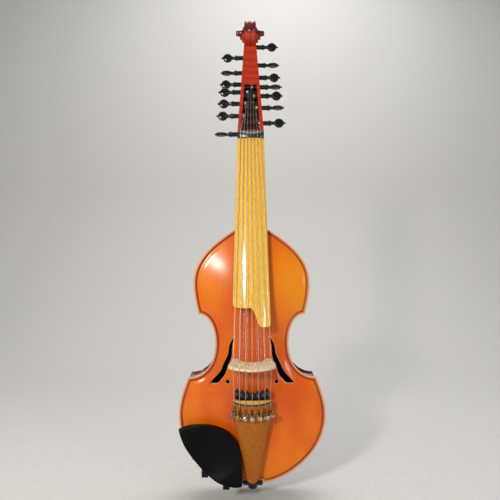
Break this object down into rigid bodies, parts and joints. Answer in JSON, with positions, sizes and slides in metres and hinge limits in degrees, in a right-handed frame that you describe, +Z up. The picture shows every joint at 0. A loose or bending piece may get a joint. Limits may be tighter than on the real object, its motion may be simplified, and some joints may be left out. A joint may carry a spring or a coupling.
{
  "type": "viola d'amore",
  "caption": "Waisted bowed string instrument with flame sound holes, long pegbox with scroll, raised tailpiece with fine tuners and a side chin rest.",
  "frame": {"origin": "middle of the end button's head, on the button's axis", "axes": "+Z up the strings from tail to scroll, -Y out of the front, +X towards the treble side"},
  "size_m": [0.2312, 0.1214, 0.788],
  "materials": {
    "front_varnish": "amber-orange oil varnish on spruce, glossy",
    "maple_varnish": "deep red-brown varnish on flamed maple, glossy",
    "head_varnish": "orange-red varnish on maple, glossy",
    "raw_spruce": "unfinished spruce",
    "purfling_dye": "dyed pear strip",
    "golden_maple": "golden varnished maple, glossy",
    "tailpiece_maple": "yellow-brown varnished maple, satin gloss",
    "ebony": "polished ebony",
    "peg_ebony": "polished ebony",
    "bridge_maple": "unvarnished maple",
    "gut_black": "black tail cord",
    "string_steel": "wound and plain metal",
    "nickel": "nickel plate",
    "screw_nickel": "bright plated brass",
    "lever_brass": "brass",
    "knob_black": "black glossy"
  },
  "bodies": {
    "body": {"top_plate": "front_varnish", "back_plate": "maple_varnish", "ribs": "maple_varnish", "linings": "raw_spruce", "blocks": "raw_spruce", "bass_bar": "raw_spruce", "sound_post": "raw_spruce", "purfling": "purfling_dye", "neck": "head_varnish", "fingerboard": "golden_maple", "nut": "ebony", "saddle": "ebony", "end_button": "ebony", "tail_gut": "gut_black", "tailpiece": "tailpiece_maple", "tailpiece_fret": "ebony", "bridge": "bridge_maple", "playing_strings": "string_steel", "sympathetic_strings": "string_steel", "chin_rest": "ebony", "chin_rest_clamp": "nickel", "tuner_frames": "nickel", "sympathetic_rail": "nickel"},
    "peg_bass_1": {"peg_bass_1": "peg_ebony"},
    "peg_bass_2": {"peg_bass_2": "peg_ebony"},
    "peg_bass_3": {"peg_bass_3": "peg_ebony"},
    "peg_bass_4": {"peg_bass_4": "peg_ebony"},
    "peg_bass_5": {"peg_bass_5": "peg_ebony"},
    "peg_bass_6": {"peg_bass_6": "peg_ebony"},
    "peg_bass_7": {"peg_bass_7": "peg_ebony"},
    "peg_treble_1": {"peg_treble_1": "peg_ebony"},
    "peg_treble_2": {"peg_treble_2": "peg_ebony"},
    "peg_treble_3": {"peg_treble_3": "peg_ebony"},
    "peg_treble_4": {"peg_treble_4": "peg_ebony"},
    "peg_treble_5": {"peg_treble_5": "peg_ebony"},
    "peg_treble_6": {"peg_treble_6": "peg_ebony"},
    "peg_treble_7": {"peg_treble_7": "peg_ebony"},
    "tuner_screw_1": {"tuner_screw_1": "screw_nickel"},
    "tuner_lever_1": {"tuner_lever_1": "lever_brass"},
    "tuner_screw_2": {"tuner_screw_2": "screw_nickel"},
    "tuner_lever_2": {"tuner_lever_2": "lever_brass"},
    "tuner_screw_3": {"tuner_screw_3": "screw_nickel"},
    "tuner_lever_3": {"tuner_lever_3": "lever_brass"},
    "tuner_screw_4": {"tuner_screw_4": "screw_nickel"},
    "tuner_lever_4": {"tuner_lever_4": "lever_brass"},
    "tuner_screw_5": {"tuner_screw_5": "screw_nickel"},
    "tuner_lever_5": {"tuner_lever_5": "lever_brass"},
    "tuner_screw_6": {"tuner_screw_6": "screw_nickel"},
    "tuner_lever_6": {"tuner_lever_6": "lever_brass"},
    "tuner_screw_7": {"tuner_screw_7": "screw_nickel"},
    "tuner_lever_7": {"tuner_lever_7": "lever_brass"},
    "sympathetic_knob_1": {"sympathetic_knob_1": "knob_black"},
    "sympathetic_knob_2": {"sympathetic_knob_2": "knob_black"},
    "sympathetic_knob_3": {"sympathetic_knob_3": "knob_black"},
    "sympathetic_knob_4": {"sympathetic_knob_4": "knob_black"},
    "sympathetic_knob_5": {"sympathetic_knob_5": "knob_black"},
    "sympathetic_knob_6": {"sympathetic_knob_6": "knob_black"},
    "sympathetic_knob_7": {"sympathetic_knob_7": "knob_black"},
    "chin_rest_barrel_1": {"chin_rest_barrel_1": "nickel"},
    "chin_rest_barrel_2": {"chin_rest_barrel_2": "nickel"}
  },
  "joints": [
    {"name": "peg_bass_1_turn", "type": "hinge", "parent": "body", "child": "peg_bass_1", "pos_m": [0, 0.01286, 0.7205], "axis": [-1, 0, 0], "continuous": true},
    {"name": "peg_bass_2_turn", "type": "hinge", "parent": "body", "child": "peg_bass_2", "pos_m": [0, 0.01796, 0.6955], "axis": [-1, 0, 0], "continuous": true},
    {"name": "peg_bass_3_turn", "type": "hinge", "parent": "body", "child": "peg_bass_3", "pos_m": [0, 0.01433, 0.6728], "axis": [-1, 0, 0], "continuous": true},
    {"name": "peg_bass_4_turn", "type": "hinge", "parent": "body", "child": "peg_bass_4", "pos_m": [0, 0.00224, 0.6535], "axis": [-1, 0, 0], "continuous": true},
    {"name": "peg_bass_5_turn", "type": "hinge", "parent": "body", "child": "peg_bass_5", "pos_m": [0, -0.00128, 0.6315], "axis": [-1, 0, 0], "continuous": true},
    {"name": "peg_bass_6_turn", "type": "hinge", "parent": "body", "child": "peg_bass_6", "pos_m": [0, -0.00496, 0.6085], "axis": [-1, 0, 0], "continuous": true},
    {"name": "peg_bass_7_turn", "type": "hinge", "parent": "body", "child": "peg_bass_7", "pos_m": [0, -0.01015, 0.5748], "axis": [-1, 0, 0], "continuous": true},
    {"name": "peg_treble_1_turn", "type": "hinge", "parent": "body", "child": "peg_treble_1", "pos_m": [0, 0.01628, 0.7419], "axis": [1, 0, 0], "continuous": true},
    {"name": "peg_treble_2_turn", "type": "hinge", "parent": "body", "child": "peg_treble_2", "pos_m": [0, 0.02038, 0.7106], "axis": [1, 0, 0], "continuous": true},
    {"name": "peg_treble_3_turn", "type": "hinge", "parent": "body", "child": "peg_treble_3", "pos_m": [0, 0.01644, 0.686], "axis": [1, 0, 0], "continuous": true},
    {"name": "peg_treble_4_turn", "type": "hinge", "parent": "body", "child": "peg_treble_4", "pos_m": [0, 0.00376, 0.663], "axis": [1, 0, 0], "continuous": true},
    {"name": "peg_treble_5_turn", "type": "hinge", "parent": "body", "child": "peg_treble_5", "pos_m": [0, 0.00104, 0.646], "axis": [1, 0, 0], "continuous": true},
    {"name": "peg_treble_6_turn", "type": "hinge", "parent": "body", "child": "peg_treble_6", "pos_m": [0, -0.00256, 0.6235], "axis": [1, 0, 0], "continuous": true},
    {"name": "peg_treble_7_turn", "type": "hinge", "parent": "body", "child": "peg_treble_7", "pos_m": [0, -0.00712, 0.595], "axis": [1, 0, 0], "continuous": true},
    {"name": "tuner_screw_1_turn", "type": "hinge", "parent": "body", "child": "tuner_screw_1", "pos_m": [-0.02895, -0.05468, 0.12594], "axis": [-0.6293, -0.7585, -0.1691], "range_deg": [-1080, 0]},
    {"name": "tuner_lever_1_rock", "type": "hinge", "parent": "body", "child": "tuner_lever_1", "pos_m": [-0.02115, -0.04625, 0.13243], "axis": [0.7771, -0.6142, -0.137], "range_deg": [0, 6]},
    {"name": "tuner_screw_2_turn", "type": "hinge", "parent": "body", "child": "tuner_screw_2", "pos_m": [-0.02016, -0.06014, 0.12472], "axis": [-0.4384, -0.8772, -0.1956], "range_deg": [-1080, 0]},
    {"name": "tuner_lever_2_rock", "type": "hinge", "parent": "body", "child": "tuner_lever_2", "pos_m": [-0.01473, -0.05024, 0.13154], "axis": [0.8988, -0.4279, -0.0954], "range_deg": [0, 6]},
    {"name": "tuner_screw_3_turn", "type": "hinge", "parent": "body", "child": "tuner_screw_3", "pos_m": [-0.01035, -0.06353, 0.12396], "axis": [-0.225, -0.951, -0.2121], "range_deg": [-1080, 0]},
    {"name": "tuner_lever_3_rock", "type": "hinge", "parent": "body", "child": "tuner_lever_3", "pos_m": [-0.00756, -0.05272, 0.13098], "axis": [0.9744, -0.2196, -0.049], "range_deg": [0, 6]},
    {"name": "tuner_screw_4_turn", "type": "hinge", "parent": "body", "child": "tuner_screw_4", "pos_m": [0, -0.06468, 0.1237], "axis": [0, -0.976, -0.2177], "range_deg": [-1080, 0]},
    {"name": "tuner_lever_4_rock", "type": "hinge", "parent": "body", "child": "tuner_lever_4", "pos_m": [0, -0.05356, 0.1308], "axis": [1, 0, 0], "range_deg": [0, 6]},
    {"name": "tuner_screw_5_turn", "type": "hinge", "parent": "body", "child": "tuner_screw_5", "pos_m": [0.01035, -0.06353, 0.12396], "axis": [0.225, -0.951, -0.2121], "range_deg": [-1080, 0]},
    {"name": "tuner_lever_5_rock", "type": "hinge", "parent": "body", "child": "tuner_lever_5", "pos_m": [0.00756, -0.05272, 0.13098], "axis": [0.9744, 0.2196, 0.049], "range_deg": [0, 6]},
    {"name": "tuner_screw_6_turn", "type": "hinge", "parent": "body", "child": "tuner_screw_6", "pos_m": [0.02016, -0.06014, 0.12472], "axis": [0.4384, -0.8772, -0.1956], "range_deg": [-1080, 0]},
    {"name": "tuner_lever_6_rock", "type": "hinge", "parent": "body", "child": "tuner_lever_6", "pos_m": [0.01473, -0.05024, 0.13154], "axis": [0.8988, 0.4279, 0.0954], "range_deg": [0, 6]},
    {"name": "tuner_screw_7_turn", "type": "hinge", "parent": "body", "child": "tuner_screw_7", "pos_m": [0.02895, -0.05468, 0.12594], "axis": [0.6293, -0.7585, -0.1691], "range_deg": [-1080, 0]},
    {"name": "tuner_lever_7_rock", "type": "hinge", "parent": "body", "child": "tuner_lever_7", "pos_m": [0.02115, -0.04625, 0.13243], "axis": [0.7771, 0.6142, 0.137], "range_deg": [0, 6]},
    {"name": "sympathetic_knob_1_turn", "type": "hinge", "parent": "body", "child": "sympathetic_knob_1", "pos_m": [-0.02266, -0.0539, 0.15818], "axis": [0, -0.2177, 0.976], "range_deg": [-1440, 1440]},
    {"name": "sympathetic_knob_2_turn", "type": "hinge", "parent": "body", "child": "sympathetic_knob_2", "pos_m": [-0.01578, -0.05818, 0.15722], "axis": [0, -0.2177, 0.976], "range_deg": [-1440, 1440]},
    {"name": "sympathetic_knob_3_turn", "type": "hinge", "parent": "body", "child": "sympathetic_knob_3", "pos_m": [-0.0081, -0.06083, 0.15663], "axis": [0, -0.2177, 0.976], "range_deg": [-1440, 1440]},
    {"name": "sympathetic_knob_4_turn", "type": "hinge", "parent": "body", "child": "sympathetic_knob_4", "pos_m": [0, -0.06173, 0.15643], "axis": [0, -0.2177, 0.976], "range_deg": [-1440, 1440]},
    {"name": "sympathetic_knob_5_turn", "type": "hinge", "parent": "body", "child": "sympathetic_knob_5", "pos_m": [0.0081, -0.06083, 0.15663], "axis": [0, -0.2177, 0.976], "range_deg": [-1440, 1440]},
    {"name": "sympathetic_knob_6_turn", "type": "hinge", "parent": "body", "child": "sympathetic_knob_6", "pos_m": [0.01578, -0.05818, 0.15722], "axis": [0, -0.2177, 0.976], "range_deg": [-1440, 1440]},
    {"name": "sympathetic_knob_7_turn", "type": "hinge", "parent": "body", "child": "sympathetic_knob_7", "pos_m": [0.02266, -0.0539, 0.15818], "axis": [0, -0.2177, 0.976], "range_deg": [-1440, 1440]},
    {"name": "chin_rest_barrel_1_turn", "type": "hinge", "parent": "body", "child": "chin_rest_barrel_1", "pos_m": [-0.04, 0, 0.0154], "axis": [0, -1, 0], "range_deg": [-720, 720]},
    {"name": "chin_rest_barrel_2_turn", "type": "hinge", "parent": "body", "child": "chin_rest_barrel_2", "pos_m": [-0.0726, 0, 0.0333], "axis": [0, -1, 0], "range_deg": [-720, 720]}
  ],
  "couplings": [
    {"joint": "tuner_lever_1_rock", "follows": "tuner_screw_1_turn", "ratio": -0.0055556},
    {"joint": "tuner_lever_2_rock", "follows": "tuner_screw_2_turn", "ratio": -0.0055556},
    {"joint": "tuner_lever_3_rock", "follows": "tuner_screw_3_turn", "ratio": -0.0055556},
    {"joint": "tuner_lever_4_rock", "follows": "tuner_screw_4_turn", "ratio": -0.0055556},
    {"joint": "tuner_lever_5_rock", "follows": "tuner_screw_5_turn", "ratio": -0.0055556},
    {"joint": "tuner_lever_6_rock", "follows": "tuner_screw_6_turn", "ratio": -0.0055556},
    {"joint": "tuner_lever_7_rock", "follows": "tuner_screw_7_turn", "ratio": -0.0055556}
  ]
}
